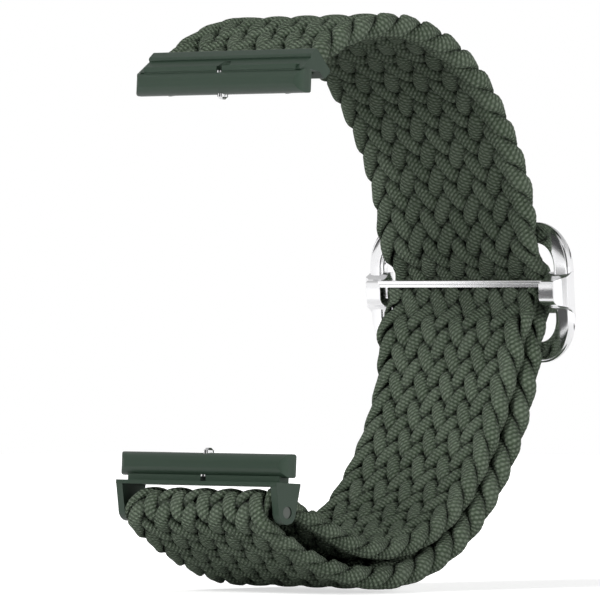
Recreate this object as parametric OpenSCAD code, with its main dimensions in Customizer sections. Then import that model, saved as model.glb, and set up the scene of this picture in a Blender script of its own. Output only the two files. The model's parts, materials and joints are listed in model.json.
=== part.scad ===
// Adjustable braided elastic watch band with a sliding steel buckle.
// X runs across the strap, Y from the watch towards the buckle, and Z up, with the band as worn.
// The origin is the centre of the upper slide tongue.

/* [Strap] */
// Width of the strap over its edge cords
strap_w = 22.4; // [18:0.1:25]
// Thickness of the strap where it runs free
strap_t = 2.35; // [1.9:0.05:2.6]
// Thickness of the strap where it turns round the lower bar
loop_t = 1.6; // [1.3:0.05:2.2]
// Width of the strap where it turns round the lower bar
loop_w = 20.6; // [19:0.1:22]
// Width of the doubled inner layer, which is drawn in by its clamped end
inner_w = 19.2; // [17:0.1:20]
// Thickness of the inner layer
inner_t = 2; // [1.6:0.05:2.4]
// Sideways offset of the inner layer
inner_shift = 0.75; // [0:0.05:0.8]
// Gap between the two layers where they lie on each other
layer_gap = 0.08; // [0.05:0.01:0.4]
// Length of one edge bight of the braid
bight_pitch = 3.15; // [2.2:0.05:4]
// Height of an edge bight over the valley beside it
bight_h = 0.28; // [0.05:0.01:0.5]

/* [Loop path] */
// Start of the strap behind the upper tongue, along Y
start_y = 2; // [1.6:0.1:3]
// Start of the strap over the upper tongue, along Z
start_z = 1.6; // [1.2:0.1:2.5]
// Angle at which the strap leaves the upper connector, over the horizontal
start_angle = 40.5; // [20:0.5:60]
// Radius of the crown next to the watch
crown_r = 18; // [14:0.1:24]
// Turn of the crown
crown_turn = 92.3; // [80:0.1:96]
// Radius of the long back run, on which the buckle slides
back_r = 33.4; // [28:0.1:45]
// Turn of the back run
back_turn = 78; // [70:0.1:82]
// Radius of the bottom of the loop
bottom_r = 19.5; // [16:0.1:24]
// Turn of the bottom
bottom_turn = 63.8; // [56:0.1:68]
// Radius of the front run up to the lower connector
front_r = 30.3; // [24:0.1:40]
// Turn of the front run
front_turn = 23; // [18:0.5:30]
// Bottom radius of the inner layer, which lifts off the outer one
inner_bottom_r = 15.6; // [13:0.1:16.5]

/* [Buckle] */
// Place of the buckle, as a turn down the back run
buckle_turn = 37.5; // [28:0.5:46]
// Tilt of the buckle, bottom outwards
buckle_tilt = 3; // [0:0.5:5]
// Width of the ring
ring_w = 28.9; // [26:0.1:32]
// Height of the ring
ring_h = 14.5; // [13:0.1:17]
// Width of the ring's strip, seen from the back
strip_w = 2.2; // [1.4:0.05:2.6]
// Thickness of the ring
ring_t = 1; // [0.8:0.05:1.6]
// Outer corner radius of the ring
ring_corner_r = 4.7; // [3.5:0.1:5.5]
// Rounding of the strip's edges
strip_edge_r = 0.3; // [0.1:0.05:0.4]
// Height of the ring's inner face over the strap's middle surface
ring_lift = 0.55; // [0.4:0.05:1.2]
// Height of a lug at the wrist end
lug_h = 2.7; // [1.8:0.1:3]
// Height of a lug at its foot on the ring
lug_foot_h = 4.3; // [3.2:0.1:5]
// Reach of the lugs below the strap's middle surface
lug_reach = 0.8; // [0.4:0.05:0.9]
// Clear width between the lugs
lug_gap = 22.8; // [20.8:0.1:23]
// Width of a lug at the wrist end, from which its outer side flares out to the ring
lug_w = 2; // [1.4:0.1:2.6]
// Height of the centre bar
bar_h = 0.4; // [0.3:0.05:0.8]
// Depth of the centre bar and of the crimp below it
bar_d = 1.2; // [1:0.05:1.5]
// Height of the crimp's short front lip
lip_h = 0.3; // [0.2:0.05:0.6]
// Height of the crimp's long back wall
crimp_h = 1.5; // [1:0.1:2]
// Thickness of the crimp's sheet
crimp_sheet = 0.2; // [0.15:0.05:0.3]
// Clear width of the strap where it passes between the lugs
pass_w = 21.9; // [18:0.1:22.4]
// Thickness of the strap where the buckle squeezes it
pass_t = 1.85; // [1.6:0.05:1.9]
// Gap between the strap and the crimp, where it passes over the centre bar
pass_gap = 0.08; // [0.05:0.01:0.2]
// Gap between the strap and the ring's two bars
bar_gap = 0.15; // [0.1:0.01:0.3]
// Travel of the buckle along the back run, each way
slide_travel = 5; // [3:0.5:5.5]

/* [Connectors] */
// Length of a slide tongue along the case slot
tongue_w = 24; // [21:0.1:25]
// Depth of the tongue into the case
tongue_d = 2.4; // [2.3:0.05:3]
// Thickness of the tongue's rounded head
tongue_t = 2.2; // [1.8:0.05:2.6]
// Thickness of the neck between the tongue and the connector
neck_t = 1.3; // [1:0.05:1.6]
// Height of the neck
neck_h = 0.5; // [0.4:0.05:1]
// Wall of the socket that holds the strap's end
socket_wall = 0.35; // [0.3:0.05:0.6]
// Depth of the strap in its socket
socket_depth = 0.9; // [0.7:0.05:1.4]
// Side clearance of the strap in its socket
socket_gap = 0.08; // [0.05:0.01:0.15]
// Diameter of the lower cross bar
cross_d = 1.2; // [1:0.05:2]
// Clearance between the cross bar and the strap's loop
cross_gap = 0.1; // [0.08:0.01:0.2]
// Thickness of the flange under the watch case that carries the cheeks
flange_t = 0.4; // [0.3:0.05:0.6]
// Thickness of the cheeks that hold the cross bar
cheek_t = 0.9; // [0.7:0.05:1.2]
// Radius of the cheek's rounded tip
cheek_tip_r = 1.2; // [1:0.05:1.6]
// Width of the flange and of the cheek where it joins the flange
cheek_top_w = 3.4; // [2.6:0.1:3.8]
// Gap between the cheeks and the strap's edges
cheek_gap = 0.35; // [0.25:0.05:0.6]
// Swing of the lower connector about its bar, each way
swing = 15; // [10:1:18]

/* [Locks] */
// Diameter of the lock button's nose
nose_d = 1.1; // [0.8:0.05:1.2]
// Diameter of the lock button's shoulder and spring chamber
shoulder_d = 1.4; // [1.3:0.05:1.5]
// Height by which the nose stands out of the tongue
nose_out = 0.5; // [0.5:0.05:0.6]
// Travel of the lock button
lock_travel = 0.45; // [0.3:0.05:0.45]
// Running clearance of the lock button, on the radius
lock_gap = 0.05; // [0.03:0.01:0.08]
// Wire of the lock spring
spring_wire = 0.16; // [0.12:0.01:0.17]
// Turns of the lock spring
spring_turns = 3; // [2:1:3]
// Thickness of the plug that closes the spring chamber
plug_t = 0.35; // [0.25:0.05:0.4]
// Width of a rubber grip pad
pad_w = 2.4; // [1.5:0.1:3]
// Height of a pad over the tongue's face
pad_h = 0.15; // [0.1:0.01:0.2]

/* [Hidden] */

strap_green = [0.25, 0.31, 0.25];
moulded_green = [0.17, 0.26, 0.2];
steel = [0.8, 0.8, 0.81];
spring_steel = [0.6, 0.61, 0.62];
rubber_black = [0.1, 0.1, 0.1];

round_fn = 48;
small_fn = 24;
overlap = 0.5;

// Points and headings along the outer path, in the YZ plane, where a heading of 0 is +Y
function turn_centre(p, h, r) = p + r * [sin(h), -cos(h)];
function on_circle(c, h, r) = c + r * [-sin(h), cos(h)];
function arc_end(p, h, r, a) = on_circle(turn_centre(p, h, r), h - a, r);
function arc_len(r, a) = r * a * PI / 180;
function arc_turn(r, d) = d / r * 180 / PI;

p0 = [start_y, start_z];
h0 = start_angle;
p1 = arc_end(p0, h0, crown_r, crown_turn);
h1 = h0 - crown_turn;
p2 = arc_end(p1, h1, back_r, back_turn);
h2 = h1 - back_turn;
p3 = arc_end(p2, h2, bottom_r, bottom_turn);
h3 = h2 - bottom_turn;
p4 = arc_end(p3, h3, front_r, front_turn);
h4 = h3 - front_turn;
s1 = arc_len(crown_r, crown_turn);
s2 = s1 + arc_len(back_r, back_turn);
s3 = s2 + arc_len(bottom_r, bottom_turn);
s4 = s3 + arc_len(front_r, front_turn);
back_centre = turn_centre(p1, h1, back_r);

function along(p, h, r, d) = let (a = arc_turn(r, d)) concat(arc_end(p, h, r, a), [h - a]);
function outer_at(s) = s <= s1 ? along(p0, h0, crown_r, s)
    : s <= s2 ? along(p1, h1, back_r, s - s1)
    : s <= s3 ? along(p2, h2, bottom_r, s - s2)
    : along(p3, h3, front_r, s - s3);

// Buckle place on the path
s_buckle = s1 + arc_len(back_r, buckle_turn);
buckle_at = outer_at(s_buckle);
buckle_y = buckle_at[0];
buckle_z = buckle_at[1];
buckle_angle = buckle_at[2] + 90 + buckle_tilt;

// Soft step from a at x0 to b at x1
function ease(t) = let (k = min(1, max(0, t))) k * k * (3 - 2 * k);
function step_to(x, x0, x1, a, b) = a + (b - a) * ease((x - x0) / (x1 - x0));

// The strap ducks under the ring's two bars and rises over the centre bar between them
bar_row = ring_h / 2 - strip_w / 2;
bar_in = ring_h / 2 - strip_w;
bar_sag = back_r - sqrt(back_r * back_r - bar_in * bar_in);
bar_lean = bar_row * sin(buckle_tilt);
duck = ring_lift - bar_gap - pass_t / 2 + bar_sag;
lead = 6;
squeeze_lead = 1;
lug_half = lug_h / 2;
crimp_back = bar_d - lug_reach;
pass_rise = crimp_back + pass_gap + pass_t / 2;
rise_end = 0.8;
function rise(v) = v < -bar_in ? step_to(v, -bar_in - lead, -bar_in, 0, duck - bar_lean)
    : v < -lug_half ? step_to(v, -bar_in, -lug_half, duck - bar_lean, pass_rise)
    : v < rise_end ? pass_rise
    : v < bar_in ? step_to(v, rise_end, bar_in, pass_rise, duck + bar_lean)
    : step_to(v, bar_in, bar_in + lead, duck + bar_lean, 0);
function outer_w(v) = v < 0 ? step_to(v, -bar_row - squeeze_lead, -lug_half, strap_w, pass_w)
    : step_to(v, lug_half, bar_row + squeeze_lead, pass_w, strap_w);
function outer_t(v) = v < 0 ? step_to(v, -bar_row - lead, -bar_row, strap_t, pass_t)
    : step_to(v, bar_row, bar_row + lead, pass_t, strap_t);

// The strap is drawn thinner and narrower on its way to the lower bar
loop_lead = 20;
loop_rest = 4;
function to_loop(s, from, to) = step_to(s, s4 - loop_lead, s4 - loop_rest, from, to);

// A station is [y, z, heading, width, thickness, sideways offset, length run so far]
function shifted(at, off) = [at[0] - off * sin(at[2]), at[1] + off * cos(at[2]), at[2]];
function outer_station(s) = let (v = s - s_buckle)
    concat(shifted(outer_at(s), rise(v)),
           [to_loop(s, outer_w(v), loop_w), to_loop(s, outer_t(v), loop_t), 0, s]);

// Lower loop round the cross bar
loop_r = cross_d / 2 + cross_gap + loop_t / 2;
bar_at = turn_centre(p4, h4, loop_r);
layer_pitch = (strap_t + inner_t) / 2 + layer_gap;
inner_back_r = back_r - layer_pitch;
inner_p2 = on_circle(back_centre, h2, inner_back_r);
inner_centre = turn_centre(inner_p2, h2, inner_bottom_r);
to_inner = inner_centre - bar_at;
line_h = atan2(to_inner[1], to_inner[0]) - asin((inner_bottom_r + loop_r) / norm(to_inner));
line_len = to_inner * [cos(line_h), sin(line_h)];
loop_turn = h4 + 360 - line_h;
inner_bottom_turn = h2 + 180 - line_h;
s_loop = arc_len(loop_r, loop_turn);
s_inner_bottom = arc_len(inner_bottom_r, inner_bottom_turn);
loop_end = on_circle(bar_at, line_h, loop_r);
run_line = s4 + s_loop;
run_bottom = run_line + line_len;
run_back = run_bottom + s_inner_bottom;

function loop_station(s) =
    let (h = h4 - arc_turn(loop_r, s), c = on_circle(bar_at, h, loop_r))
    [c[0], c[1], h, step_to(s, 0, s_loop, loop_w, inner_w), loop_t,
     step_to(s, 0, s_loop, 0, inner_shift), s4 + s];
function line_station(s) =
    [loop_end[0] + s * cos(line_h), loop_end[1] + s * sin(line_h), line_h, inner_w,
     step_to(s, 0, line_len, loop_t, inner_t), inner_shift, run_line + s];
function bottom_station(s) =
    let (h = line_h + arc_turn(inner_bottom_r, s),
         c = inner_centre + inner_bottom_r * [sin(h), -cos(h)])
    [c[0], c[1], h, inner_w, inner_t, inner_shift, run_bottom + s];

// The inner layer climbs the back run and thins to a bonded end in the crimp
bar_top = lug_half;
crimp_top = bar_top - bar_h;
crimp_mid = -lug_reach + bar_d / 2;
tip_gap = 0.05;
tip_side = 0.6;
tip_t = bar_d - 2 * (crimp_sheet + tip_gap);
tip_swell = 3.2;
tip_w = lug_gap - 2 * tip_side;
v_tip = -crimp_top + crimp_sheet + tip_gap;
v_free = -crimp_top + crimp_h;
function inner_swell(v) = step_to(v, v_free, v_free + tip_swell, tip_t, inner_t);
function below_outer(v) = rise(v) - outer_t(v) / 2 - layer_gap;
function inner_top(v) = min(below_outer(v), step_to(v, v_free, v_free + tip_swell,
                                                    crimp_mid + tip_t / 2, below_outer(v)));
function inner_off(v) = inner_top(v) - inner_swell(v) / 2;
function inner_station(s) =
    let (v = s - s_buckle, at = shifted(outer_at(s), inner_off(v)))
    [at[0], at[1], at[2] + 180, step_to(v, v_free, v_free + 2 * lead, tip_w, inner_w),
     inner_swell(v), step_to(v, v_free, v_free + 2 * lead, 0, inner_shift),
     run_back + s2 - s];

// Where the strap is parted, so that the buckle's share of it can travel
pass_over = 1.5;
feed_left = 4;
pass_from = s_buckle - bar_row - pass_over;
pass_to = s_buckle + bar_row + pass_over;
feed_len = slide_travel + feed_left;
feed_from = pass_from - feed_len;
feed_to = pass_to + feed_len;
end_to = s_buckle + v_free + tip_swell;
return_to = end_to + feed_len;

// Sweep of a flat section with round edges along a list of stations
edge_points = 7;
ring_points = 2 * edge_points;
// Edge bights: a scallop that runs on along each edge, half a pitch apart left and right
function scallop(run, side) =
    bight_h * (abs(sin(180 * (run / bight_pitch + side / 2))) - 1);
function section(w, t, left, right) =
    [for (side = [0, 1], k = [0:edge_points - 1])
        let (a = 90 - 180 * k / (edge_points - 1) + 180 * side,
             half = (w - t) / 2 + (side == 0 ? right : left))
        [half * (side == 0 ? 1 : -1) + t / 2 * cos(a), t / 2 * sin(a)]];
function placed(st) =
    [for (q = section(st[3], st[4], scallop(st[6], 0), scallop(st[6], 1)))
        [q[0] + st[5], st[0] - q[1] * sin(st[2]), st[1] + q[1] * cos(st[2])]];
function caps(n) = [for (k = [1:n - 2]) [0, k, k + 1]];
function sides(rings, n) =
    [for (i = [0:rings - 2], k = [0:n - 1], half = [0, 1])
        let (a = i * n + k, b = i * n + (k + 1) % n)
        half == 0 ? [a, a + n, b] : [b, a + n, b + n]];
module sweep(stations) {
    rings = len(stations);
    points = [for (st = stations) each placed(st)];
    last = (rings - 1) * ring_points;
    faces = concat([for (f = caps(ring_points)) [f[0], f[1], f[2]]],
                   [for (f = caps(ring_points)) [f[2] + last, f[1] + last, f[0] + last]],
                   sides(rings, ring_points));
    polyhedron(points, faces);
}

ring_step = bight_pitch / 4;
function steps(d) = max(2, ceil(d / ring_step));
module outer_piece(from, to) {
    n = steps(to - from);
    d = (to - from) / n;
    sweep([for (i = [0:n]) outer_station(from + i * d)]);
}

module strap_crown_run() color(strap_green) outer_piece(0, feed_from);
module strap_upper_feed() color(strap_green) outer_piece(feed_from, pass_from);
module strap_buckle_pass() color(strap_green) outer_piece(pass_from, pass_to);
module strap_outer_feed() color(strap_green) outer_piece(pass_to, feed_to);
module strap_outer_run() color(strap_green) outer_piece(feed_to, s4);
loop_rings = 14;
module strap_lower_loop() color(strap_green)
    sweep([for (i = [0:loop_rings]) loop_station(i * s_loop / loop_rings)]);
module strap_inner_run() {
    n_line = steps(line_len);
    n_bottom = steps(s_inner_bottom);
    n_back = steps(s2 - return_to);
    color(strap_green) sweep(concat(
        [for (i = [0:n_line - 1]) line_station(i * line_len / n_line)],
        [for (i = [0:n_bottom - 1]) bottom_station(i * s_inner_bottom / n_bottom)],
        [for (i = [0:n_back]) inner_station(s2 + (return_to - s2) * i / n_back)]));
}
module inner_piece(from, to) {
    n = steps(from - to);
    color(strap_green) sweep([for (i = [0:n]) inner_station(from + (to - from) * i / n)]);
}
module strap_return_feed() inner_piece(return_to, end_to);
module strap_clamped_end() inner_piece(end_to, s_buckle + v_tip);

// Flat outlines with round corners
module round_rect(w, h, r) {
    square([w - 2 * r, h], center = true);
    square([w, h - 2 * r], center = true);
    for (x = [-1, 1], y = [-1, 1])
        translate([x * (w / 2 - r), y * (h / 2 - r)]) circle(r, $fn = small_fn);
}

// Buckle parts are drawn flat: X across the strap, Y outwards and Z up
module on_buckle()
    translate([0, buckle_y, buckle_z]) rotate([buckle_angle, 0, 0]) children();

corner_mid_r = ring_corner_r - strip_w / 2;
module ring_bar(len) rotate([0, 90, 0])
    linear_extrude(len, center = true) rotate(90) round_rect(ring_t, strip_w, strip_edge_r);
module ring_corner() rotate([90, 0, 0])
    rotate_extrude(angle = 90, $fn = 2 * round_fn)
        translate([corner_mid_r, 0]) round_rect(strip_w, ring_t, strip_edge_r);
module ring() {
    mid_x = (ring_w - strip_w) / 2;
    mid_z = (ring_h - strip_w) / 2;
    in_x = ring_w / 2 - ring_corner_r;
    in_z = ring_h / 2 - ring_corner_r;
    for (m = [0, 1], n = [0, 1]) mirror([m, 0, 0]) mirror([0, 0, n])
        translate([in_x, 0, in_z]) ring_corner();
    for (z = [-1, 1]) translate([0, 0, z * mid_z]) ring_bar(2 * in_x);
    for (x = [-1, 1]) translate([x * mid_x, 0, 0]) rotate([0, 90, 0]) ring_bar(2 * in_z);
}
module lug_outline() {
    fillet = (lug_foot_h - lug_h) / 2;
    top = ring_lift + ring_t / 2;
    difference() {
        translate([-lug_reach, -lug_foot_h / 2]) square([lug_reach + top, lug_foot_h]);
        for (m = [0, 1]) mirror([0, m]) {
            translate([-lug_reach - overlap, lug_half])
                square([lug_reach + ring_lift - fillet + overlap, fillet + overlap]);
            translate([ring_lift - fillet, lug_foot_h / 2]) circle(fillet, $fn = round_fn);
        }
    }
}
module lug_plan() {
    inner = lug_gap / 2;
    flare = ring_w / 2 - inner - lug_w;
    difference() {
        translate([inner, -lug_reach])
            square([lug_w + flare - strip_edge_r, lug_reach + ring_lift + ring_t / 2]);
        translate([ring_w / 2, -lug_reach]) circle(flare, $fn = round_fn);
    }
}
module lug() intersection() {
    translate([lug_gap / 2, 0, 0]) rotate([90, 0, 90]) linear_extrude(ring_w / 2) lug_outline();
    linear_extrude(2 * lug_foot_h, center = true) lug_plan();
}
module buckle_frame() color(steel) on_buckle() {
    translate([0, ring_lift + ring_t / 2, 0]) ring();
    for (m = [0, 1]) mirror([m, 0, 0]) lug();
    translate([-lug_gap / 2 - overlap, -lug_reach, bar_top - bar_h])
        cube([lug_gap + 2 * overlap, bar_d, bar_h]);
}
module crimp_outline() {
    translate([-lug_reach, crimp_top - lip_h]) square([crimp_sheet, lip_h]);
    translate([-lug_reach, crimp_top - crimp_sheet]) square([bar_d, crimp_sheet]);
    translate([-lug_reach + bar_d - crimp_sheet, crimp_top - crimp_h])
        square([crimp_sheet, crimp_h]);
}
module end_crimp() color(steel) on_buckle()
    rotate([90, 0, 90]) linear_extrude(lug_gap, center = true) crimp_outline();

// Connectors are drawn upright: the tongue's middle is the origin and the watch lies below
case_pitch = atan2(-bar_at[0], -bar_at[1]);
edge_up = tongue_d / 2 + neck_h;
head_r = 0.43 * tongue_t;
module tongue() intersection() {
    rotate([90, 0, 90]) linear_extrude(tongue_w, center = true)
        round_rect(tongue_t, tongue_d, head_r);
    linear_extrude(2 * tongue_d, center = true) round_rect(tongue_w, tongue_t, head_r);
}
neck_w = tongue_w - tongue_t;
module neck() translate([-neck_w / 2, -neck_t / 2, 0]) cube([neck_w, neck_t, edge_up]);

// Lock: a sprung button in a stepped bore, closed by a plug behind its spring
nose_wall = 0.45;
button_len = 0.45;
bore_over = 1;
chamber_top = tongue_d / 2;
chamber_low = -tongue_d / 2 + nose_wall;
module lock_bore() {
    translate([0, 0, -tongue_d / 2 - bore_over])
        cylinder(d = nose_d + 2 * lock_gap, h = tongue_d, $fn = round_fn);
    translate([0, 0, chamber_low])
        cylinder(d = shoulder_d + 2 * lock_gap, h = chamber_top - chamber_low + bore_over,
                 $fn = round_fn);
}
module lock_button() color(steel) {
    nose_r = nose_d / 2;
    dome = 0.25;
    translate([0, 0, chamber_low]) cylinder(d = shoulder_d, h = button_len, $fn = round_fn);
    translate([0, 0, -tongue_d / 2 - nose_out + dome])
        cylinder(r = nose_r, h = nose_wall + nose_out - dome + overlap / 2, $fn = round_fn);
    translate([0, 0, -tongue_d / 2 - nose_out])
        cylinder(r1 = nose_r - dome, r2 = nose_r, h = dome, $fn = round_fn);
}
module lock_plug() color(steel)
    translate([0, 0, chamber_top - plug_t])
        cylinder(r = shoulder_d / 2 + lock_gap, h = plug_t, $fn = round_fn);
spring_seat = 0.02;
spring_low = chamber_low + button_len + spring_wire / 2 + spring_seat;
spring_high = chamber_top - plug_t - spring_wire / 2 - spring_seat;
spring_r = shoulder_d / 2 - spring_wire;
spring_rings = 8;
spring_sides = 6;
module lock_spring() {
    n = spring_turns * spring_rings;
    rise_per_turn = (spring_high - spring_low) / spring_turns;
    lean = atan(rise_per_turn / (2 * PI * spring_r));
    points = [for (i = [0:n], k = [0:spring_sides - 1])
        let (a = 360 * i / spring_rings, b = 360 * k / spring_sides,
             out = spring_r + spring_wire / 2 * cos(b), up = spring_wire / 2 * sin(b))
        [out * cos(a) + up * sin(lean) * sin(a), out * sin(a) - up * sin(lean) * cos(a),
         spring_low + (spring_high - spring_low) * i / n + up * cos(lean)]];
    last = n * spring_sides;
    faces = concat([for (f = caps(spring_sides)) [f[2], f[1], f[0]]],
                   [for (f = caps(spring_sides)) [f[0] + last, f[1] + last, f[2] + last]],
                   [for (f = sides(n + 1, spring_sides)) [f[2], f[1], f[0]]]);
    color(spring_steel) polyhedron(points, faces);
}
pad_x = 0.35 * tongue_w;
pad_seat = 0.3;
module pad_pockets() for (x = [-1, 1])
    translate([x * pad_x, tongue_t / 2 - pad_seat, 0]) rotate([-90, 0, 0])
        cylinder(d = pad_w, h = 2 * pad_seat, $fn = round_fn);
module grip_pads() color(rubber_black) for (x = [-1, 1])
    translate([x * pad_x, tongue_t / 2 - pad_seat, 0]) rotate([-90, 0, 0])
        cylinder(d1 = pad_w, d2 = pad_w - pad_h, h = pad_seat + pad_h, $fn = round_fn);

module on_upper() rotate([-case_pitch, 0, 0]) children();
module on_lower() translate([0, bar_at[0], bar_at[1]]) rotate([180 - case_pitch, 0, 0])
    mirror([0, 1, 0]) translate([0, 0, -lower_reach]) children();

// Upper connector: the socket sits on the neck and follows the strap's first heading
socket_in_w = strap_w + 2 * socket_gap;
socket_in_t = strap_t + 2 * socket_gap;
socket_len = socket_depth + socket_wall;
socket_half = socket_in_t / 2 + socket_wall;
start_dir = [cos(start_angle), sin(start_angle)];
start_up = [-sin(start_angle), cos(start_angle)];
socket_edge_r = 0.3;
module socket_outline() translate(p0) rotate(start_angle)
    translate([socket_depth - socket_len / 2, 0])
        round_rect(socket_len, 2 * socket_half, socket_edge_r);
module bridge_outline() {
    back = p0 - start_dir * socket_wall / 2;
    polygon([[-neck_t / 2, tongue_d / 2], [neck_t / 2, tongue_d / 2],
             back - start_up * socket_half / 2, back + start_up * (socket_half - socket_wall)]);
}
module upper_connector() color(moulded_green) {
    difference() {
        union() {
            on_upper() {
                tongue();
                neck();
            }
            rotate([90, 0, 90])
                linear_extrude(socket_in_w + 2 * socket_wall, center = true) {
                    socket_outline();
                    bridge_outline();
                }
        }
        translate([0, start_y, start_z]) rotate([start_angle, 0, 0])
            translate([-socket_in_w / 2, 0, -socket_in_t / 2])
                cube([socket_in_w, socket_depth + overlap, socket_in_t]);
        on_upper() {
            lock_bore();
            pad_pockets();
        }
    }
}
module upper_lock_button() on_upper() lock_button();
module upper_lock_spring() on_upper() lock_spring();
module upper_lock_plug() on_upper() lock_plug();
module upper_grip_pads() on_upper() grip_pads();

// Lower connector: a flange under the case and two cheeks that carry the cross bar, with the
// strap's loop between them
crown_gap = 0.25;
under = loop_r + loop_t / 2 + crown_gap;
lower_reach = under + flange_t + edge_up;
cheek_in = loop_w / 2 + cheek_gap;
cheek_out = cheek_in + cheek_t;
bar_end = 0.1;
module cheek_outline() {
    half = cheek_top_w / 2;
    top = under + flange_t / 2;
    circle(cheek_tip_r, $fn = round_fn);
    polygon([[-cheek_tip_r, 0], [cheek_tip_r, 0], [half, top], [-half, top]]);
}
module cross_bar(cut) translate([0, 0, lower_reach]) rotate([0, 90, 0])
    cylinder(d = cross_d, h = 2 * (cheek_out - bar_end + cut), center = true, $fn = round_fn);
module lower_connector() color(moulded_green) on_lower() difference() {
    union() {
        tongue();
        neck();
        translate([-cheek_out, -cheek_top_w / 2, edge_up])
            cube([2 * cheek_out, cheek_top_w, flange_t]);
        for (m = [0, 1]) mirror([m, 0, 0]) translate([cheek_in, 0, lower_reach])
            rotate([90, 0, 90]) linear_extrude(cheek_t) mirror([0, 1]) cheek_outline();
    }
    lock_bore();
    pad_pockets();
    cross_bar(overlap);
}
module lower_cross_bar() color(steel) on_lower() cross_bar(0);
module lower_lock_button() on_lower() lock_button();
module lower_lock_spring() on_lower() lock_spring();
module lower_lock_plug() on_lower() lock_plug();
module lower_grip_pads() on_lower() grip_pads();

upper_connector();
upper_lock_button();
upper_lock_spring();
upper_lock_plug();
upper_grip_pads();
strap_crown_run();
strap_upper_feed();
strap_buckle_pass();
strap_outer_feed();
strap_outer_run();
strap_lower_loop();
strap_inner_run();
strap_return_feed();
strap_clamped_end();
buckle_frame();
end_crimp();
lower_connector();
lower_cross_bar();
lower_lock_button();
lower_lock_spring();
lower_lock_plug();
lower_grip_pads();
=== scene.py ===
import json
import math

import bpy
import numpy as np
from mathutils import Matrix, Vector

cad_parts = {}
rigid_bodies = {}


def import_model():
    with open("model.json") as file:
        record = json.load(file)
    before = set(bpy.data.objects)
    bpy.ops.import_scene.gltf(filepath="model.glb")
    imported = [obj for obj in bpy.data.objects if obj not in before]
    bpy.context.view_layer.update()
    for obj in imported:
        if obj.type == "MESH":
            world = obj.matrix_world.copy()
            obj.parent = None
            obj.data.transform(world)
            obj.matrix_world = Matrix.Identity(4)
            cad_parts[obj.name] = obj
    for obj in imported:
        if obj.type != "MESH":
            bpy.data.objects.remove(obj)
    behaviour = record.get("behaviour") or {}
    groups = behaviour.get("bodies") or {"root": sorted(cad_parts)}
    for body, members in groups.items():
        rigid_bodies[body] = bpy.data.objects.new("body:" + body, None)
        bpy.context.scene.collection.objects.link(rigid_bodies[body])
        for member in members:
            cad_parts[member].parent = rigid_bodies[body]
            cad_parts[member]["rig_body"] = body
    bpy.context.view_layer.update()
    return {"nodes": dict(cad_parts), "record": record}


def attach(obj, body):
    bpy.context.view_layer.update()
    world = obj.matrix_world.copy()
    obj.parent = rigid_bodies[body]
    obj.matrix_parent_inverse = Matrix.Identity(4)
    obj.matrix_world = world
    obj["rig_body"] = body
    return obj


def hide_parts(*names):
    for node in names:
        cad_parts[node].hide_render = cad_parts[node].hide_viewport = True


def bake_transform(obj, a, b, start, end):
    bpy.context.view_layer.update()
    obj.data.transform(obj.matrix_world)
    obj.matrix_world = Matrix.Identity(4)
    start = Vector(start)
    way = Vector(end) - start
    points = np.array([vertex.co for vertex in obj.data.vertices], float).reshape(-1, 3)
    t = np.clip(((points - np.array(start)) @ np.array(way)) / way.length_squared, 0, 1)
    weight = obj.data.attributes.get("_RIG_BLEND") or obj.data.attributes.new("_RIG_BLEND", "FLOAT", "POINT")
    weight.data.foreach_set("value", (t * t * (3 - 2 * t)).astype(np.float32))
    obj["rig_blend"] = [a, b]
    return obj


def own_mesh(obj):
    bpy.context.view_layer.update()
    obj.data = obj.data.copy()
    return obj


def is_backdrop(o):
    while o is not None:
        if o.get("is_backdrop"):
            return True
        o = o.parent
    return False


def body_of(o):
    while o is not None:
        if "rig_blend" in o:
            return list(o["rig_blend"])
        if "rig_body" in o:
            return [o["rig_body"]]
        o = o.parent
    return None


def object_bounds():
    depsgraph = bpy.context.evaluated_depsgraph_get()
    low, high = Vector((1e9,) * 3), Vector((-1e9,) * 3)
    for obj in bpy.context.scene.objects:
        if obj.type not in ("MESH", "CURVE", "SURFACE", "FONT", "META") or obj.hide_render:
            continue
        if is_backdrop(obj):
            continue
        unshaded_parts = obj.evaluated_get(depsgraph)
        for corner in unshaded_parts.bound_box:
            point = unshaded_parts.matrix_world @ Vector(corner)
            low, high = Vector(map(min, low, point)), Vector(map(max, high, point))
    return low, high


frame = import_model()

# Sizes are in millimetres until a mesh is made, and angles in degrees
MM = 0.001

# The strap's path across the YZ plane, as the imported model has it
START = (2.0, 1.6)
START_ANGLE = 40.5
CROWN_R, CROWN_TURN = 18.0, 92.3
BACK_R, BACK_TURN = 33.4, 78.0
BOTTOM_R, BOTTOM_TURN = 19.5, 63.8
FRONT_R, FRONT_TURN = 30.3, 23.0
INNER_BOTTOM_R = 15.6

# The strap's section
STRAP_W, STRAP_T = 22.4, 2.35
LOOP_W, LOOP_T = 20.6, 1.6
INNER_W, INNER_T, INNER_SHIFT = 19.2, 2.0, 0.75
LAYER_GAP = 0.08
LOOP_LEAD, LOOP_REST = 20.0, 4.0

# The buckle's share of the path
BUCKLE_TURN, BUCKLE_TILT = 37.5, 3.0
RING_H, STRIP_W, RING_LIFT = 14.5, 2.2, 0.55
LUG_H, LUG_REACH, LUG_GAP = 2.7, 0.8, 22.8
BAR_H, BAR_D, CRIMP_H, CRIMP_SHEET = 0.4, 1.2, 1.5, 0.2
PASS_W, PASS_T, PASS_GAP, BAR_GAP = 21.9, 1.85, 0.08, 0.15
LEAD, SQUEEZE_LEAD, RISE_END = 6.0, 1.0, 0.8
TIP_GAP, TIP_SIDE, TIP_SWELL = 0.05, 0.6, 3.2
CROSS_D, CROSS_GAP = 1.2, 0.1

# The braid: cords of two-over, two-under weave, by crossings along the strap
CORDS = 21
CROSS_STEP = 1.58
FLOAT, EDGE_FLOAT, EDGE_TURN = 2, 2.5, 1.1
BIGHT_ROUND = 0.32
# A cord's half thickness, its lift and its width round an edge as shares of the strap's
# thickness, and how square its floats are
CORD_HALF_T, CORD_LIFT, EDGE_FILL, FLOAT_SQUARE = 0.26, 0.25, 0.82, 1.7
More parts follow.
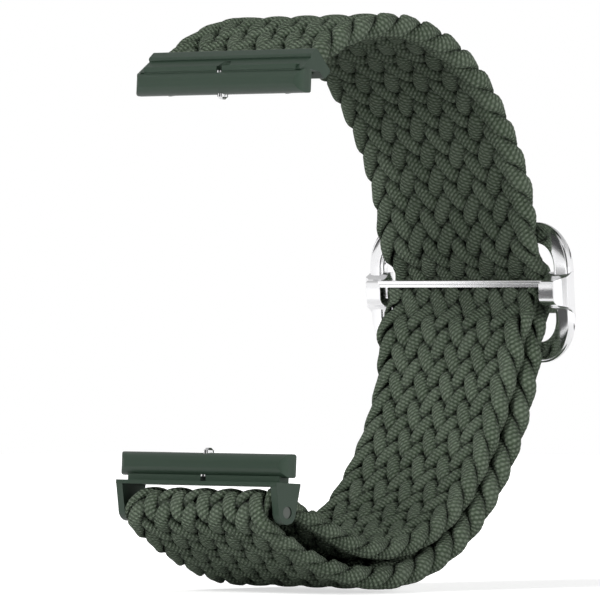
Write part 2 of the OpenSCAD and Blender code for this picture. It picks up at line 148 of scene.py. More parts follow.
# A cord's half width as a share of the cords' spacing and what a float's middle adds to it, and
# the same for the share of its thickness
CORD_FLAT, FLAT_SWELL, CORD_SLIM, SLIM_SWELL = 0.49, 0.06, 0.94, 0.1
CORD_SIDES, SAMPLE, SMOOTH_PASSES = 12, 0.24, 3
# The ribbon inside the braid, dark with painted shade
CORE_T, CORE_INSET, CORE_SAMPLE = 0.1, 0.95, 0.8
# The yarn's crosswise ribs and the stitches round a cord
RIB_PITCH, RIB_TURNS, STITCHES = 0.37, 1, 9
# A share that spreads the cords' tints evenly
GOLDEN = 0.618034


def rad(a):
    return np.radians(a)


def ease(t):
    t = np.clip(t, 0.0, 1.0)
    return t * t * (3 - 2 * t)


def step_to(x, x0, x1, a, b):
    return a + (b - a) * ease((x - x0) / (x1 - x0))


def turn_centre(p, h, r):
    return np.array([p[0] + r * math.sin(rad(h)), p[1] - r * math.cos(rad(h))])


def on_circle(c, h, r):
    return np.stack([c[0] - r * np.sin(rad(h)), c[1] + r * np.cos(rad(h))], -1)


def arc_len(r, a):
    return r * math.radians(a)


class Path:
    """The outer path: four arcs, each given by its start, first heading, radius and length."""

    def __init__(self):
        self.arcs = []
        p, h, s = np.array(START), START_ANGLE, 0.0
        turns = ((CROWN_R, CROWN_TURN), (BACK_R, BACK_TURN), (BOTTOM_R, BOTTOM_TURN),
                 (FRONT_R, FRONT_TURN))
        for r, a in turns:
            c = turn_centre(p, h, r)
            self.arcs.append((s, c, h, r))
            p, h, s = on_circle(c, h - a, r), h - a, s + arc_len(r, a)
        self.end, self.end_heading, self.length = p, h, s

    def at(self, s):
        s = np.asarray(s, float)
        y, z, h = (np.zeros_like(s) for _ in range(3))
        for s0, c, h0, r in self.arcs:
            here = s >= s0
            head = h0 - np.degrees((s - s0) / r)
            p = on_circle(c, head, r)
            y = np.where(here, p[..., 0], y)
            z = np.where(here, p[..., 1], z)
            h = np.where(here, head, h)
        return y, z, h


path = Path()
s_back, s_bottom = path.arcs[1][0], path.arcs[2][0]
back_centre = path.arcs[1][1]
s_buckle = s_back + arc_len(BACK_R, BUCKLE_TURN)

# How the strap ducks under the ring's bars and rises over the centre bar
bar_row = RING_H / 2 - STRIP_W / 2
bar_in = RING_H / 2 - STRIP_W
bar_sag = BACK_R - math.sqrt(BACK_R ** 2 - bar_in ** 2)
bar_lean = bar_row * math.sin(rad(BUCKLE_TILT))
duck = RING_LIFT - BAR_GAP - PASS_T / 2 + bar_sag
lug_half = LUG_H / 2
pass_rise = BAR_D - LUG_REACH + PASS_GAP + PASS_T / 2


def rise(v):
    out = step_to(v, -bar_in - LEAD, -bar_in, 0, duck - bar_lean)
    out = np.where(v >= -bar_in, step_to(v, -bar_in, -lug_half, duck - bar_lean, pass_rise), out)
    out = np.where(v >= RISE_END, step_to(v, RISE_END, bar_in, pass_rise, duck + bar_lean), out)
    return np.where(v >= bar_in, step_to(v, bar_in, bar_in + LEAD, duck + bar_lean, 0), out)


def outer_w(v):
    above = step_to(v, -bar_row - SQUEEZE_LEAD, -lug_half, STRAP_W, PASS_W)
    return np.where(v < 0, above, step_to(v, lug_half, bar_row + SQUEEZE_LEAD, PASS_W, STRAP_W))


def outer_t(v):
    above = step_to(v, -bar_row - LEAD, -bar_row, STRAP_T, PASS_T)
    return np.where(v < 0, above, step_to(v, bar_row, bar_row + LEAD, PASS_T, STRAP_T))


def shifted(y, z, h, off):
    return y - off * np.sin(rad(h)), z + off * np.cos(rad(h))


def to_loop(s, a, b):
    return step_to(s, path.length - LOOP_LEAD, path.length - LOOP_REST, a, b)


# A stretch of stations has the columns y, z, heading, width, thickness and sideways offset
STATION = 0.1


def outer_stretch():
    s = np.arange(0, path.length, STATION)
    v = s - s_buckle
    y, z, h = path.at(s)
    y, z = shifted(y, z, h, rise(v))
    w = to_loop(s, outer_w(v), LOOP_W)
    t = to_loop(s, outer_t(v), LOOP_T)
    return np.stack([y, z, h, w, t, 0 * s], 1)


def return_stretches():
    loop_r = CROSS_D / 2 + CROSS_GAP + LOOP_T / 2
    bar_at = turn_centre(path.end, path.end_heading, loop_r)
    pitch = (STRAP_T + INNER_T) / 2 + LAYER_GAP
    h2 = path.arcs[2][2]
    inner_p2 = on_circle(back_centre, h2, BACK_R - pitch)
    inner_c = turn_centre(inner_p2, h2, INNER_BOTTOM_R)
    to_inner = inner_c - bar_at
    far = math.hypot(*to_inner)
    line_h = math.degrees(math.atan2(to_inner[1], to_inner[0])
                          - math.asin((INNER_BOTTOM_R + loop_r) / far))
    line_len = float(to_inner @ [math.cos(rad(line_h)), math.sin(rad(line_h))])
    loop_turn = path.end_heading + 360 - line_h
    s_loop = arc_len(loop_r, loop_turn)
    loop_end = on_circle(bar_at, line_h, loop_r)

    s = np.arange(0, s_loop, STATION)
    h = path.end_heading - np.degrees(s / loop_r)
    p = on_circle(bar_at, h, loop_r)
    loop = np.stack([p[:, 0], p[:, 1], h + 360, step_to(s, 0, s_loop, LOOP_W, INNER_W),
                     LOOP_T + 0 * s, step_to(s, 0, s_loop, 0, INNER_SHIFT)], 1)

    s = np.arange(0, line_len, STATION)
    line = np.stack([loop_end[0] + s * math.cos(rad(line_h)), loop_end[1] + s * math.sin(rad(line_h)),
                     line_h + 0 * s, INNER_W + 0 * s, step_to(s, 0, line_len, LOOP_T, INNER_T),
                     INNER_SHIFT + 0 * s], 1)

    s = np.arange(0, arc_len(INNER_BOTTOM_R, h2 + 180 - line_h), STATION)
    h = line_h + np.degrees(s / INNER_BOTTOM_R)
    bottom = np.stack([inner_c[0] + INNER_BOTTOM_R * np.sin(rad(h)),
                       inner_c[1] - INNER_BOTTOM_R * np.cos(rad(h)), h, INNER_W + 0 * s,
                       INNER_T + 0 * s, INNER_SHIFT + 0 * s], 1)

    crimp_top = lug_half - BAR_H
    crimp_mid = -LUG_REACH + BAR_D / 2
    tip_t = BAR_D - 2 * (CRIMP_SHEET + TIP_GAP)
    v_tip = -crimp_top + CRIMP_SHEET + TIP_GAP
    v_free = -crimp_top + CRIMP_H
    s = np.arange(s_bottom, s_buckle + v_tip, -STATION)
    v = s - s_buckle
    swell = step_to(v, v_free, v_free + TIP_SWELL, tip_t, INNER_T)
    below = rise(v) - outer_t(v) / 2 - LAYER_GAP
    top = np.minimum(below, step_to(v, v_free, v_free + TIP_SWELL, crimp_mid + tip_t / 2, below))
    y, z, h = path.at(s)
    y, z = shifted(y, z, h, top - swell / 2)
    width = step_to(v, v_free, v_free + 2 * LEAD, LUG_GAP - 2 * TIP_SIDE, INNER_W)
    shift = step_to(v, v_free, v_free + 2 * LEAD, 0, INNER_SHIFT)
    back = np.stack([y, z, h + 180, width, swell, shift], 1)
    return loop, line, bottom, back


class Strap:
    """The whole strap, from the upper connector to the crimp, measured by its own length."""

    def __init__(self):
        outer = outer_stretch()
        rows = np.concatenate((outer,) + return_stretches())
        middle = smooth(rows[:, :2], SMOOTH_PASSES)
        step = np.hypot(*np.diff(middle, axis=0).T)
        self.run = np.concatenate([[0], np.cumsum(step)])
        tangent = np.gradient(middle, self.run, axis=0)
        tangent /= np.hypot(*tangent.T)[:, None]
        heading = rad(rows[:, 2])
        slant = np.abs(tangent[:, 0] * np.cos(heading) + tangent[:, 1] * np.sin(heading))
        self.columns = np.column_stack([middle, tangent, rows[:, 3], rows[:, 4] * slant, rows[:, 5]])
        self.bar = float(np.interp(s_buckle, STATION * np.arange(len(outer)), self.run[:len(outer)]))

    def at(self, s):
        y, z, ty, tz, w, t, off = (np.interp(s, self.run, c) for c in self.columns.T)
        size = np.hypot(ty, tz)
        return y, z, ty / size, tz / size, w, t, off


def smooth(points, passes):
    for _ in range(passes):
        inner = (points[:-2] + 2 * points[1:-1] + points[2:]) / 4
        points = np.concatenate([points[:1], inner, points[-1:]])
    return points


strap = Strap()


def float_height(leg):
    """Whether a cord lies over (1) or under (-1) the others, and how far out its float has come."""
    first = leg < EDGE_FLOAT
    last = leg > CORDS - EDGE_FLOAT
    block = np.floor((leg - EDGE_FLOAT) / FLOAT)
    part = np.where(first, leg / EDGE_FLOAT,
                    np.where(last, (leg - CORDS + EDGE_FLOAT) / EDGE_FLOAT,
                             (leg - EDGE_FLOAT) / FLOAT - block))
    over = np.where(first, 1.0, np.where(last, -1.0, np.where(block % 2 == 0, -1.0, 1.0)))
    swell = np.tanh(FLOAT_SQUARE * np.sin(np.pi * part)) / math.tanh(FLOAT_SQUARE)
    return over, swell


def cord_path(strap, k, s):
    """Centre, up direction, half width and half thickness of cord k at strap lengths s."""
    y, z, ty, tz, w, t, off = strap.at(s)
    half_t = CORD_HALF_T * t
    room = (w / 2 - half_t) / (CORDS / 2 - BIGHT_ROUND)
    phase = (s / CROSS_STEP + 2 * k) % (2 * CORDS)
    leg = phase % CORDS
    to_turn = np.minimum(leg, CORDS - leg)
    leftward = phase >= CORDS
    # The nearer turn is at the left edge for the first half of a rightward leg
    left = np.where(leftward, leg > CORDS / 2, leg <= CORDS / 2)
    side = np.where(left, -1.0, 1.0)
    inset = np.sqrt(to_turn ** 2 + BIGHT_ROUND ** 2)
    across = side * (CORDS / 2 - inset) * room + off
    over, swell = float_height(leg)
    height = over * swell * (CORD_LIFT * t)
    centre = np.stack([across, y - tz * height, z + ty * height], -1)
    # The flat of the cord faces the strap's faces, and outwards where it turns round an edge
    signed = np.where(left == leftward, -to_turn, to_turn)
    facing = np.sin(np.clip(signed / EDGE_TURN, -1, 1) * np.pi / 2)
    out = side * np.sqrt(1 - facing ** 2)
    up = np.stack([out, -tz * facing, ty * facing], -1)
    spacing = 2 * room * CROSS_STEP / np.hypot(room, CROSS_STEP)
    flat_w = spacing * (CORD_FLAT + FLAT_SWELL * swell)
    half_w = flat_w + (EDGE_FILL * t / 2 - flat_w) * (1 - facing ** 2)
    return centre, up, half_w, half_t * (CORD_SLIM + SLIM_SWELL * swell)


def cord_tube(strap, k, s0, s1):
    """Rings of points of cord k between two strap lengths, their lengths and how far they lie out of the
    painted shade deep in the braid.
    """
    count = max(8, int(round((s1 - s0) / SAMPLE)))
    s = np.linspace(s0, s1, count + 1)
    centre, up, half_w, half_t = cord_path(strap, k, s)
    tangent = np.gradient(centre, axis=0)
    step = np.linalg.norm(np.diff(centre, axis=0), axis=1)
    along = np.concatenate([[0], np.cumsum(step)])
    tangent /= np.linalg.norm(tangent, axis=1)[:, None]
    up = up - (up * tangent).sum(1)[:, None] * tangent
    up /= np.linalg.norm(up, axis=1)[:, None]
    side = np.cross(tangent, up)
    turn = 2 * np.pi * np.arange(CORD_SIDES) / CORD_SIDES
    ring = (centre[:, None] + side[:, None] * (half_w[:, None] * np.cos(turn))[..., None]
            + up[:, None] * (half_t[:, None] * np.sin(turn))[..., None])
    return ring, along, unshaded_share(strap, s, ring)


def unshaded_share(strap, s, ring):
    """0 at the strap's middle layer and 1 at its faces and edges: the lower it is, the more painted shade
    the yarn takes, standing in for the shade in the braid's crevices.
    """
    y, z, ty, tz, w, t, off = (c[:, None] for c in strap.at(s))
    face = np.abs((ring[..., 2] - z) * ty - (ring[..., 1] - y) * tz) / (t / 2)
    edge = 1 + (np.abs(ring[..., 0] - off) - w / 2) / (t / 2)
    return np.clip(np.maximum(face, edge), 0, 1)


def shaded_core_ribbon(strap, s0, s1):
    """A thin ribbon along the strap's middle layer, which closes the holes between the cords and is dark all
    over with painted shade.
    """
    s = np.linspace(s0, s1, int((s1 - s0) / CORE_SAMPLE))
    y, z, ty, tz, w, t, off = strap.at(s)
    half_w, half_t = w / 2 - CORE_INSET, np.full_like(s, CORE_T / 2)
    corners = ((-1, -1), (1, -1), (1, 1), (-1, 1))
    ring = np.stack([np.stack([off + a * half_w, y - b * half_t * tz, z + b * half_t * ty], -1)
                     for a, b in corners], 1)
    return ring, s - s0, np.zeros(ring.shape[:2])


def braid(name, s0, s1):
    points, faces, uvs, tints, unshaded_parts = [], [], [], [], []
    base = 0
    tubes = [cord_tube(strap, k, s0, s1) for k in range(CORDS)] + [shaded_core_ribbon(strap, s0, s1)]
    for k, (ring, along, unshaded) in enumerate(tubes):
        n, m = ring.shape[:2]
        points.append(ring.reshape(-1, 3))
        i, j = np.meshgrid(np.arange(n - 1), np.arange(m), indexing="ij")
        i, j = i.ravel(), j.ravel()
        nxt = (j + 1) % m
        faces.append(base + np.stack([i * m + j, (i + 1) * m + j, (i + 1) * m + nxt, i * m + nxt], 1))
        u0, u1, v0, v1 = along[i], along[i + 1], j / m, (j + 1) / m
        uvs.append(np.stack([u0, v0, u1, v0, u1, v1, u0, v1], 1).reshape(-1, 2))
        tints.append(np.full(n * m, (k * GOLDEN) % 1.0))
        unshaded_parts.append(unshaded.ravel())
        base += n * m
    values = {"tint": np.concatenate(tints), "unshaded": np.concatenate(unshaded_parts)}
    return tube_object(name, np.concatenate(points), np.concatenate(faces), np.concatenate(uvs), values)


def tube_object(name, points, faces, uvs, values):
    mesh = bpy.data.meshes.new(name)
    mesh.vertices.add(len(points))
    mesh.vertices.foreach_set("co", (points * MM).astype(np.float32).ravel())
    mesh.loops.add(4 * len(faces))
    mesh.loops.foreach_set("vertex_index", faces.astype(np.int32).ravel())
    mesh.polygons.add(len(faces))
    mesh.polygons.foreach_set("loop_start", np.arange(0, 4 * len(faces), 4, dtype=np.int32))
    mesh.polygons.foreach_set("loop_total", np.full(len(faces), 4, dtype=np.int32))
    mesh.update(calc_edges=True)
    layer = mesh.uv_layers.new(name="cord")
    layer.data.foreach_set("uv", uvs.astype(np.float32).ravel())
    for key, value in values.items():
        mesh.attributes.new(key, "FLOAT", "POINT").data.foreach_set("value", value.astype(np.float32))
    mesh.shade_smooth()
    piece = bpy.data.objects.new(name, mesh)
    bpy.context.scene.collection.objects.link(piece)
    return piece


class Tree:
    """A short way to write shader nodes: each call adds one and gives its output."""

    def __init__(self, owner):
        owner.use_nodes = True
        self.owner = owner
        self.tree = owner.node_tree
        self.nodes = self.tree.nodes

    def add(self, kind, **settings):
        node = self.nodes.new(kind)
        inputs = settings.pop("inputs", {})
        for key, value in settings.items():
            setattr(node, key, value)
        for key, value in inputs.items():
            self.put(node.inputs[key], value)
        return node

    def put(self, socket, value):
        if isinstance(value, bpy.types.NodeSocket):
            self.tree.links.new(value, socket)
        else:
            socket.default_value = value

    def math(self, operation, a, b=0.0):
        return self.add("ShaderNodeMath", operation=operation, inputs={0: a, 1: b}).outputs[0]

    def mix(self, factor, a, b):
        node = self.add("ShaderNodeMix", data_type="RGBA", inputs={"Factor": factor})
        self.put(node.inputs[6], a)
        self.put(node.inputs[7], b)
        return node.outputs[2]

    def remap(self, value, span, result=(0.0, 1.0), kind="LINEAR"):
        inputs = {"Value": value, "From Min": span[0], "From Max": span[1], "To Min": result[0],
                  "To Max": result[1]}
        return self.add("ShaderNodeMapRange", interpolation_type=kind, inputs=inputs).outputs[0]

    def noise(self, scale, detail=2.0):
        return self.add("ShaderNodeTexNoise", inputs={"Scale": scale, "Detail": detail}).outputs[0]

    def bump(self, height, distance, strength=1.0):
        inputs = {"Strength": strength, "Distance": distance, "Height": height}
        return self.add("ShaderNodeBump", inputs=inputs).outputs[0]

    def shade(self, **values):
        """Sets or links the main shader's sockets, with _ for a space in their names."""
        for name, value in values.items():
            self.put(self.nodes["Principled BSDF"].inputs[name.replace("_", " ")], value)


def srgb(r, g, b):
    def linear(c):
        c /= 255
        return c / 12.92 if c <= 0.04045 else ((c + 0.055) / 1.055) ** 2.4
    return (linear(r), linear(g), linear(b), 1.0)


# The dark and the light yarn colours span the yarn's uneven tone and its painted stitch shade; the
# near-black third colour is painted shade deep in the braid
YARN_DARK, YARN_LIGHT, YARN_CREVICE_SHADE = srgb(36, 58, 30), srgb(156, 170, 150), srgb(4, 21, 1)
MOULDED_DARK, MOULDED_LIGHT = srgb(30, 45, 34), srgb(46, 63, 51)
RUBBER_DARK, RUBBER_LIGHT = srgb(24, 24, 24), srgb(44, 44, 44)
POLISHED, SPRING, DARK_STEEL = (0.89, 0.89, 0.9, 1.0), (0.6, 0.6, 0.61, 1.0), (0.12, 0.13, 0.12, 1.0)
# The share of light yarn: at least YARN_LEAST, more by a cord's tint and uneven wool, and by stitches, whose
# crests are painted lighter and hollows darker as painted highlight and shade
YARN_LEAST, BY_KNIT_SHADE, BY_TINT, BY_WOOL = 0.12, 0.26, 0.1, 0.5
# The height of the stitches in metres, and the fuzz on them as a share of it
KNIT_HEIGHT, FUZZ = 0.00016, 0.8


def yarn_material():
    n = Tree(bpy.data.materials.new("green_yarn"))
    uv = n.add("ShaderNodeUVMap", uv_map="cord").outputs[0]
    parts = n.add("ShaderNodeSeparateXYZ", inputs={0: uv})
    along = n.math("MULTIPLY", parts.outputs[0], math.pi / RIB_PITCH)
    around = n.math("MULTIPLY", parts.outputs[1], 2 * math.pi)
    slant = n.math("ADD", along, n.math("MULTIPLY", around, RIB_TURNS))
    # Crosswise rows of stitches, each row half a stitch from the next
    stitch = n.math("MULTIPLY", n.math("SINE", slant),
                    n.math("COSINE", n.math("MULTIPLY", around, STITCHES)))
    row = n.math("COSINE", n.math("MULTIPLY", slant, 2.0))
    knit = n.math("SUBTRACT", n.math("MULTIPLY", stitch, 0.75), n.math("MULTIPLY", row, 0.75))
    tint = n.add("ShaderNodeAttribute", attribute_name="tint").outputs["Fac"]
    unshaded = n.add("ShaderNodeAttribute", attribute_name="unshaded").outputs["Fac"]
    # The stitch term is painted highlight on the stitches' crests and painted shade in their hollows; the
    # tint and wool terms are the yarn's own uneven tone
    level = n.math("ADD", n.math("MULTIPLY", knit, BY_KNIT_SHADE), n.math("MULTIPLY", tint, BY_TINT))
    level = n.math("ADD", level, n.math("MULTIPLY", n.noise(900.0, 3.0), BY_WOOL))
    colour = n.mix(n.math("ADD", level, YARN_LEAST), YARN_DARK, YARN_LIGHT)
    # Painted shade: deeper in the braid, the yarn's colour turns to the near-black crevice colour
    open_to_light = n.remap(unshaded, (0.25, 0.95), kind="SMOOTHSTEP")
    fuzzy_knit = n.math("ADD", knit, n.math("MULTIPLY", n.noise(6000.0), FUZZ))
    n.shade(Base_Color=n.mix(open_to_light, YARN_CREVICE_SHADE, colour),
            Normal=n.bump(fuzzy_knit, KNIT_HEIGHT), Roughness=0.85, Sheen_Weight=0.06,
            Sheen_Roughness=0.5, Specular_IOR_Level=0.06)
    return n.owner


def steel_material(name, colour, roughness, unevenness, scale):
    n = Tree(bpy.data.materials.new(name))
    uneven = n.math("ADD", n.math("MULTIPLY", n.noise(scale), unevenness), roughness)
    n.shade(Roughness=uneven, Metallic=1.0, Base_Color=colour)
    return n.owner


def moulded_material():
    n = Tree(bpy.data.materials.new("green_moulded_plastic"))
    grain = n.noise(9000.0)
    n.shade(Base_Color=n.mix(grain, MOULDED_DARK, MOULDED_LIGHT),
            Normal=n.bump(grain, 0.00002, strength=0.25), Roughness=0.45)
    return n.owner


def rubber_material():
    n = Tree(bpy.data.materials.new("black_rubber"))
    n.shade(Base_Color=n.mix(n.noise(7000.0, 3.0), RUBBER_DARK, RUBBER_LIGHT), Roughness=0.7)
    return n.owner


materials = {
    "strap": yarn_material(),
    "steel": steel_material("polished_steel", POLISHED, 0.12, 0.04, 30.0),
    "connector": moulded_material(),
    "spring": steel_material("spring_steel", SPRING, 0.25, 0.1, 2000.0),
    "rubber": rubber_material(),
}
# The photograph shows no bright end of the cross bar, so that bar is darker than the other steel
own_materials = {"lower_cross_bar": steel_material("dark_steel", DARK_STEEL, 0.25, 0.1, 2000.0)}

slot_names = {part["node"]: part["material_slot"] for part in frame["record"]["subparts"]}
for name, node in frame["nodes"].items():
    for slot in node.material_slots:
        slot.link = "OBJECT"
        slot.material = own_materials.get(name, materials[slot_names[name]])

# The strap in two lengths that meet at the buckle's centre bar
upper = braid("braid_upper", 0.0, strap.bar)
lower = braid("braid_lower", strap.bar, float(strap.run[-1]))
for piece in (upper, lower):
    piece.data.materials.append(materials["strap"])


def on_path(s):
    y, z, _ = path.at(s)
    return (0.0, float(y) * MM, float(z) * MM)


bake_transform(upper, "strap", "buckle", start=on_path(s_back - 5), end=on_path(s_buckle - bar_row - 1.5))
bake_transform(lower, "buckle", "strap", start=on_path(s_buckle + bar_row + 1.5), end=on_path(s_bottom + 3))
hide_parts("strap_crown_run", "strap_upper_feed", "strap_buckle_pass")
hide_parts("strap_outer_feed", "strap_outer_run", "strap_lower_loop", "strap_inner_run",
            "strap_return_feed", "strap_clamped_end")

# The buckle's frame, drawn flat: X across the strap, Y outwards and Z up
RING_W, RING_CORNER_R, BACK_Y = 28.9, 4.7, 1.55
LUG_FRONT_X, LUG_PROUD = 13.4, 0.03
BAR_TOP, BAR_SUNK = 1.35, 0.3
buckle_y, buckle_z, buckle_heading = (float(v) for v in path.at(s_buckle))
buckle_angle = buckle_heading + 90 + BUCKLE_TILT


def on_buckle(points):
    x, y, z = np.asarray(points, float).T
    c, s = math.cos(rad(buckle_angle)), math.sin(rad(buckle_angle))
    return np.stack([x, y * c - z * s + buckle_y, y * s + z * c + buckle_z], 1)


def solid(name, points, faces, bevel=0.0):
    mesh = bpy.data.meshes.new(name)
    mesh.from_pydata((on_buckle(points) * MM).tolist(), [], faces)
    mesh.materials.append(materials["steel"])
    mesh.shade_smooth()
    piece = bpy.data.objects.new(name, mesh)
    bpy.context.scene.collection.objects.link(piece)
    if bevel:
        round_off = piece.modifiers.new("edges", "BEVEL")
        round_off.width, round_off.segments, round_off.harden_normals = bevel * MM, 3, True
        round_off.limit_method, round_off.angle_limit = "ANGLE", math.radians(35)
    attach(piece, "buckle")
    return piece


def loft(rings, closed):
    """Points and faces through rings of equal count; closed joins the last ring to the first."""
    m = len(rings[0])
    points = [p for ring in rings for p in ring]
    n = len(rings)
    faces = []
    for i in range(n if closed else n - 1):
        for j in range(m):
            a, b = i * m, ((i + 1) % n) * m
            k = (j + 1) % m
            faces.append((a + j, a + k, b + k, b + j))
    if not closed:
        faces += [tuple(range(m))[::-1], tuple(range((n - 1) * m, n * m))]
    return points, faces


# The ring's section, across its strip and in depth: the face on the wrist side leans outwards
RING_SECTION = (
    (-1.1, 0.85), (-1.08, 0.75), (-1.01, 0.64), (-0.9, 0.56), (-0.76, 0.52), (-0.6, 0.51),
    (-0.2, 0.54), (0.2, 0.58), (0.5, 0.63), (0.68, 0.67), (0.78, 0.71), (0.9, 0.78), (1.01, 0.88),
    (1.08, 1.0), (1.1, 1.1), (1.1, 1.3), (1.06, 1.4), (0.96, 1.45), (0.7, 1.49), (0.35, 1.53),
    (0.0, BACK_Y), (-0.35, 1.53), (-0.7, 1.49), (-0.96, 1.45), (-1.06, 1.4), (-1.1, 1.3),
)
# That face, which lies nearer than RING_FACE, is also bowed, by RING_BOW at the top and bottom
RING_BOW, RING_FACE = 0.2, 1.0
CORNER_ROWS = 15


def ring_rows():
    corner = RING_CORNER_R - STRIP_W / 2
    in_x, in_z = RING_W / 2 - RING_CORNER_R, RING_H / 2 - RING_CORNER_R
    rows = []
    for quarter, (sx, sz) in enumerate(((1, 1), (-1, 1), (-1, -1), (1, -1))):
        for a in np.linspace(0, 90, CORNER_ROWS) + 90 * quarter:
            out = np.array([math.cos(rad(a)), math.sin(rad(a))])
            middle = np.array([sx * in_x, sz * in_z]) + corner * out
            row = [(middle[0] + o * out[0], depth, middle[1] + o * out[1]) for o, depth in RING_SECTION]
            rows.append([(x, y + RING_BOW * (2 * z / RING_H) ** 2 * (y < RING_FACE), z)
                         for x, y, z in row])
    return rows


# A lug's stations from the wrist end to the ring: depth, lower edge and upper edge
LUG_STATIONS = (
    (-0.8, -0.5, 0.95), (-0.77, -0.7, 1.15), (-0.68, -0.9, 1.27), (-0.5, -1.1, 1.35),
    (-0.25, -1.27, 1.4), (0.05, -1.36, 1.5), (0.3, -1.5, 1.68), (0.5, -1.78, 1.9), (0.62, -2.1, 2.1),
    (0.75, -2.15, 2.15), (1.35, -2.15, 2.15),
)
# From LEAN_START on, its outer side leans back as the ring's face does
LEAN_START, LEAN = 0.3, 1.2


def lug_rows(side):
    inner, flare = LUG_GAP / 2, RING_W / 2 - LUG_FRONT_X
    rows = []
    for depth, low, high in LUG_STATIONS:
        reach = min(flare, depth - LUG_STATIONS[0][0])
        outer = RING_W / 2 - math.sqrt(flare ** 2 - reach ** 2) + LUG_PROUD
        leant = min(depth + max(depth - LEAN_START, 0) * LEAN, LUG_STATIONS[-1][0])
        corners = [(inner, depth, low), (outer, leant, low), (outer, leant, high), (inner, depth, high)]
        rows.append([(side * x, y, z) for x, y, z in (corners if side > 0 else corners[::-1])])
    return rows


def bar_rows():
    half, y0, y1 = LUG_GAP / 2 + BAR_SUNK, -LUG_REACH, BAR_D - LUG_REACH
    z0, z1 = BAR_TOP - BAR_H, BAR_TOP
    return [[(x, y0, z0), (x, y1, z0), (x, y1, z1), (x, y0, z1)] for x in (-half, half)]


ring = solid("buckle_ring", *loft(ring_rows(), True))
solid("buckle_lug_right", *loft(lug_rows(1), False), bevel=0.12)
solid("buckle_lug_left", *loft(lug_rows(-1), False), bevel=0.12)
solid("buckle_centre_bar", *loft(bar_rows(), False), bevel=0.08)
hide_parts("buckle_frame")

# The lock springs, which shorten towards their plugs as the buttons are pressed
for end in ("upper", "lower"):
    node = frame["nodes"][end + "_lock_spring"]
    coil = bpy.data.objects.new(end + "_lock_coil", node.data.copy())
    coil.data.materials.clear()
    coil.data.materials.append(materials["spring"])
    bpy.context.scene.collection.objects.link(coil)
    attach(coil, *body_of(node))
    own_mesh(coil)
    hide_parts(node.name)

# Camera: the photograph was taken level, 45 degrees off the strap's width, from far away
AIM = (0.0, 10.957 * MM, -21.912 * MM)
CAMERA_AZIMUTH = 45.0
CAMERA_FAR = 0.9
SCALE_PX_PER_MM = 9.83
FRAME_PX = 600
SENSOR = 36.0
camera = bpy.data.objects.new("camera", bpy.data.cameras.new("camera"))
bpy.context.scene.collection.objects.link(camera)
camera.data.sensor_width = SENSOR
camera.data.lens = SENSOR * SCALE_PX_PER_MM * CAMERA_FAR / MM / FRAME_PX
camera.data.clip_start, camera.data.clip_end = 0.01, 20.0
back = (math.sin(rad(CAMERA_AZIMUTH)), -math.cos(rad(CAMERA_AZIMUTH)), 0.0)
camera.location = [a + CAMERA_FAR * b for a, b in zip(AIM, back)]
camera.rotation_euler = (math.radians(90), 0, math.radians(CAMERA_AZIMUTH))
bpy.context.scene.camera = camera


def area(name, power, size, place):
    """A square lamp aimed at AIM, from a place given from there, which metal doesn't mirror."""
    lamp = bpy.data.lights.new(name, "AREA")
    lamp.energy, lamp.size = power, size
    thing = bpy.data.objects.new(name, lamp)
    thing.visible_glossy = False
    bpy.context.scene.collection.objects.link(thing)
    thing.location = [a + b for a, b in zip(AIM, place)]
    aim = np.array(AIM) - np.array(thing.location)
    flat = math.hypot(aim[0], aim[1])
    thing.rotation_euler = (math.atan2(flat, -aim[2]), 0, math.atan2(aim[1], aim[0]) - math.pi / 2)


# Name, watts, side and place of each lamp, in metres
LAMPS = (
    ("key", 4.8, 0.25, (-0.1, -0.72, 0.5)),
    ("low", 2.5, 0.3, (0.0, -0.7, 0.02)),
    ("right", 6.2, 0.5, (0.8, 0.1, 0.1)),
    ("behind", 3.0, 0.4, (-0.1, 0.8, 0.35)),
)
for lamp in LAMPS:
    area(*lamp)

# Dark cards that only the polished steel reflects, placed from the buckle by azimuth from -Y
# towards +X and height angle in degrees, and distance, width and height in metres
BUCKLE_MIDDLE = (0.0, buckle_y * MM, buckle_z * MM)
CARDS = (
    ("upper_card", -24, 15, 0.25, 0.14, 0.11),
    ("lower_card", -24, -19, 0.12, 0.07, 0.07),
    ("side_card", 12, 0, 0.3, 0.12, 0.3),
    ("far_card", -73, 16, 0.2, 0.08, 0.075),
    ("back_low_card", 138, -16, 0.08, 0.05, 0.011),
    ("back_high_card", 160, 24, 0.25, 0.3, 0.07),
)
CARD_BLACK = (0.03, 0.03, 0.03, 1)
FLOOR_WHITE = (0.8, 0.8, 0.8, 1)
FLOOR_SIDE, FLOOR_DROP = 1.2, 0.0003


def rectangle(name, wide, tall, height=0.0):
    """A flat rectangle in the XY plane."""
    x, y = wide / 2, tall / 2
    mesh = bpy.data.meshes.new(name)
    mesh.from_pydata([(-x, -y, height), (x, -y, height), (x, y, height), (-x, y, height)], [],
                     [(0, 1, 2, 3)])
    thing = bpy.data.objects.new(name, mesh)
    bpy.context.scene.collection.objects.link(thing)
    return thing


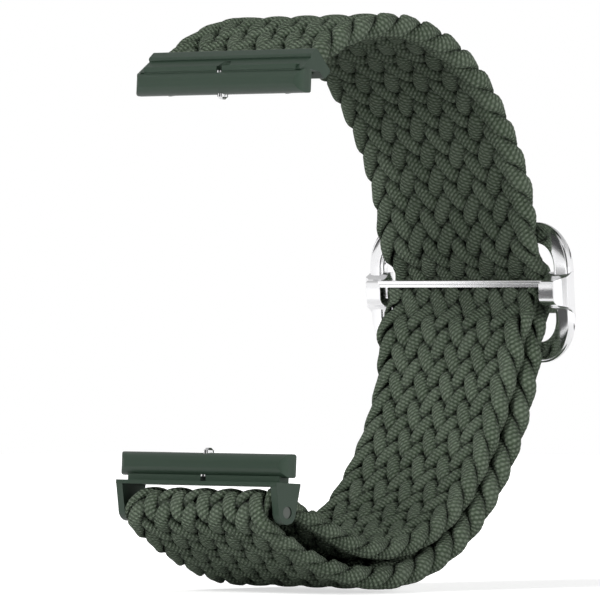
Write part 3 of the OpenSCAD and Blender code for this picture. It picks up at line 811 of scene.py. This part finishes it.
card_material = Tree(bpy.data.materials.new("dark_card"))
card_material.shade(Base_Color=CARD_BLACK)
for name, azimuth, rise_angle, far, wide, tall in CARDS:
    thing = rectangle(name, wide, tall)
    thing.data.materials.append(card_material.owner)
    level = far * math.cos(rad(rise_angle))
    thing.location = (BUCKLE_MIDDLE[0] + level * math.sin(rad(azimuth)),
                      BUCKLE_MIDDLE[1] - level * math.cos(rad(azimuth)),
                      BUCKLE_MIDDLE[2] + far * math.sin(rad(rise_angle)))
    thing.rotation_euler = (math.radians(90 - rise_angle), 0, math.radians(azimuth + 180))
    thing.visible_camera = thing.visible_diffuse = thing.visible_shadow = False
    thing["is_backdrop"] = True


def seen_ray(n, mirrored=1.0):
    """1 for a camera ray, mirrored for one that metal or glass sends on, and else 0."""
    kinds = n.add("ShaderNodeLightPath").outputs
    seen = kinds["Is Camera Ray"]
    for name in ("Is Glossy Ray", "Is Transmission Ray"):
        seen = n.math("MAXIMUM", seen, n.math("MULTIPLY", kinds[name], mirrored))
    return seen


def light_world():
    """A white room, whose ceiling is greyer than its walls, which shows in the steel."""
    world = bpy.data.worlds.new("studio")
    bpy.context.scene.world = world
    n = Tree(world)
    direction = n.add("ShaderNodeTexCoord").outputs["Generated"]
    height = n.add("ShaderNodeSeparateXYZ", inputs={0: direction}).outputs["Z"]
    background = n.nodes["Background"]
    n.put(background.inputs["Color"], n.remap(height, (0.25, 0.8), (1.0, 0.45)))
    n.put(background.inputs["Strength"], n.remap(seen_ray(n), (0.0, 1.0), (0.12, 1.0)))


def lay_floor():
    """A pale floor under the strap, white away from it, with its soft shadow near it, which a glow dimmed
    near the strap deepens as painted shade.
    """
    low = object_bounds()[0][2] - FLOOR_DROP
    floor = rectangle("floor", FLOOR_SIDE, FLOOR_SIDE, low)
    n = Tree(bpy.data.materials.new("white_floor"))
    n.nodes.clear()
    matt = n.add("ShaderNodeBsdfDiffuse", inputs={"Color": FLOOR_WHITE})
    spot = n.add("ShaderNodeNewGeometry").outputs["Position"]
    far = n.add("ShaderNodeVectorMath", operation="DISTANCE", inputs={0: spot, 1: (0.0, AIM[1], low)})
    # The glow is dimmed near the strap, painted shade around the real shadow
    fade = n.remap(far.outputs["Value"], (0.04, 0.15), (0.6, 1.0), kind="SMOOTHSTEP")
    glow = n.add("ShaderNodeEmission", inputs={"Strength": n.math("MULTIPLY", fade, seen_ray(n, 0.55))})
    both = n.add("ShaderNodeAddShader", inputs={0: matt.outputs[0], 1: glow.outputs[0]})
    n.add("ShaderNodeOutputMaterial", inputs={"Surface": both.outputs[0]})
    floor.data.materials.append(n.owner)
    floor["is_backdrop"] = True


light_world()
lay_floor()

bpy.context.scene.view_settings.view_transform = "Standard"
